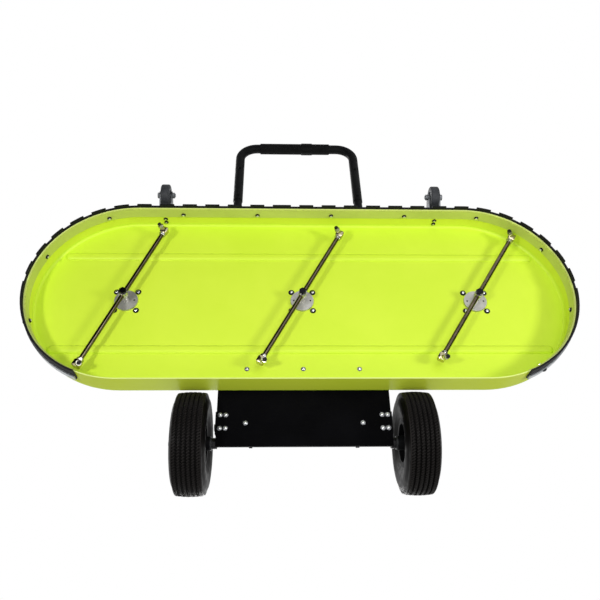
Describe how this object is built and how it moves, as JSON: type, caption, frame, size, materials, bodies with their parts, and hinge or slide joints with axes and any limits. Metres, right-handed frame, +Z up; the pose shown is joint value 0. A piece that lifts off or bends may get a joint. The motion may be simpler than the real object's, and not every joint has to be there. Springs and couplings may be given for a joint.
{
  "type": "surface cleaner",
  "caption": "Walk-behind pressure-washer surface cleaner: long steel pan with spinning spray bars, rubber skirt, pneumatic wheels, gauge wheels and a tilting loop handle.",
  "frame": {"origin": "on the ground under the middle of the part's box, with the handle at its low stop", "axes": "+X along the pan towards the operator's left, +Y back towards the operator and the grip, +Z up"},
  "size_m": [1.4762, 1.3294, 0.3271],
  "materials": {
    "lime_paint": "gloss powder coat",
    "black_rubber": "matte",
    "galvanised_steel": "zinc plated",
    "black_steel": "satin powder coat",
    "machined_steel": "turned",
    "brass": "machined",
    "nozzle_steel": "machined",
    "stainless": "polished",
    "tyre": "matte",
    "bush_plastic": "moulded",
    "grey_rubber": "matte",
    "hub_plastic": "moulded",
    "foam": "closed cell foam",
    "band_rubber": "matte"
  },
  "bodies": {
    "chassis": {"deck_top": "lime_paint", "deck_wall": "lime_paint", "skirt_rubber": "black_rubber", "skirt_strip": "galvanised_steel", "skirt_band": "lime_paint", "skirt_bolts": "galvanised_steel", "swivel_left": "black_steel", "swivel_centre": "black_steel", "swivel_right": "black_steel", "gland_left": "machined_steel", "gland_centre": "machined_steel", "gland_right": "machined_steel", "swivel_bolts": "galvanised_steel", "supply_pipes": "galvanised_steel", "supply_tee": "brass", "supply_elbows": "brass", "supply_inlet": "brass", "chassis_plate": "black_steel", "chassis_bolts": "galvanised_steel", "clevis_left": "black_steel", "clevis_right": "black_steel", "handle_pins": "galvanised_steel", "hanger_left": "black_steel", "hanger_right": "black_steel", "axle": "galvanised_steel", "axle_collars": "galvanised_steel", "axle_nuts": "galvanised_steel", "gauge_bracket_left": "black_steel", "gauge_bracket_right": "black_steel", "gauge_bolts": "galvanised_steel", "gauge_axle_left": "galvanised_steel", "gauge_axle_right": "galvanised_steel"},
    "wheel_left": {"tyre_left": "tyre", "rim_left": "black_steel", "bushes_left": "bush_plastic"},
    "gauge_wheel_left": {"gauge_tyre_left": "grey_rubber", "gauge_hub_left": "hub_plastic"},
    "wheel_right": {"tyre_right": "tyre", "rim_right": "black_steel", "bushes_right": "bush_plastic"},
    "gauge_wheel_right": {"gauge_tyre_right": "grey_rubber", "gauge_hub_right": "hub_plastic"},
    "rotor_left": {"rotor_hub_left": "stainless", "spray_bar_left": "stainless", "elbows_left": "brass", "nozzles_left": "nozzle_steel"},
    "rotor_centre": {"rotor_hub_centre": "stainless", "spray_bar_centre": "stainless", "elbows_centre": "brass", "nozzles_centre": "nozzle_steel"},
    "rotor_right": {"rotor_hub_right": "stainless", "spray_bar_right": "stainless", "elbows_right": "brass", "nozzles_right": "nozzle_steel"},
    "handle": {"handle_leg_left": "black_steel", "handle_leg_right": "black_steel", "handle_loop": "black_steel", "splice_bolts": "galvanised_steel", "grip": "foam", "grip_band": "band_rubber"}
  },
  "joints": [
    {"name": "wheel_left_spin", "type": "hinge", "parent": "chassis", "child": "wheel_left", "pos_m": [0.278, -0.53773, 0.127], "axis": [1, 0, 0], "continuous": true},
    {"name": "wheel_right_spin", "type": "hinge", "parent": "chassis", "child": "wheel_right", "pos_m": [-0.278, -0.53773, 0.127], "axis": [1, 0, 0], "continuous": true},
    {"name": "gauge_left_spin", "type": "hinge", "parent": "chassis", "child": "gauge_wheel_left", "pos_m": [0.393, 0.18263, 0.032], "axis": [1, 0, 0], "continuous": true},
    {"name": "gauge_right_spin", "type": "hinge", "parent": "chassis", "child": "gauge_wheel_right", "pos_m": [-0.393, 0.18263, 0.032], "axis": [1, 0, 0], "continuous": true},
    {"name": "rotor_left_spin", "type": "hinge", "parent": "chassis", "child": "rotor_left", "pos_m": [0.48, -0.14537, 0.05], "axis": [0, 0, 1], "continuous": true},
    {"name": "rotor_centre_spin", "type": "hinge", "parent": "chassis", "child": "rotor_centre", "pos_m": [0, -0.14537, 0.05], "axis": [0, 0, 1], "continuous": true},
    {"name": "rotor_right_spin", "type": "hinge", "parent": "chassis", "child": "rotor_right", "pos_m": [-0.48, -0.14537, 0.05], "axis": [0, 0, 1], "continuous": true},
    {"name": "handle_tilt", "type": "hinge", "parent": "chassis", "child": "handle", "pos_m": [0, -0.49373, 0.136], "axis": [1, 0, 0], "range_deg": [0, 72]}
  ]
}
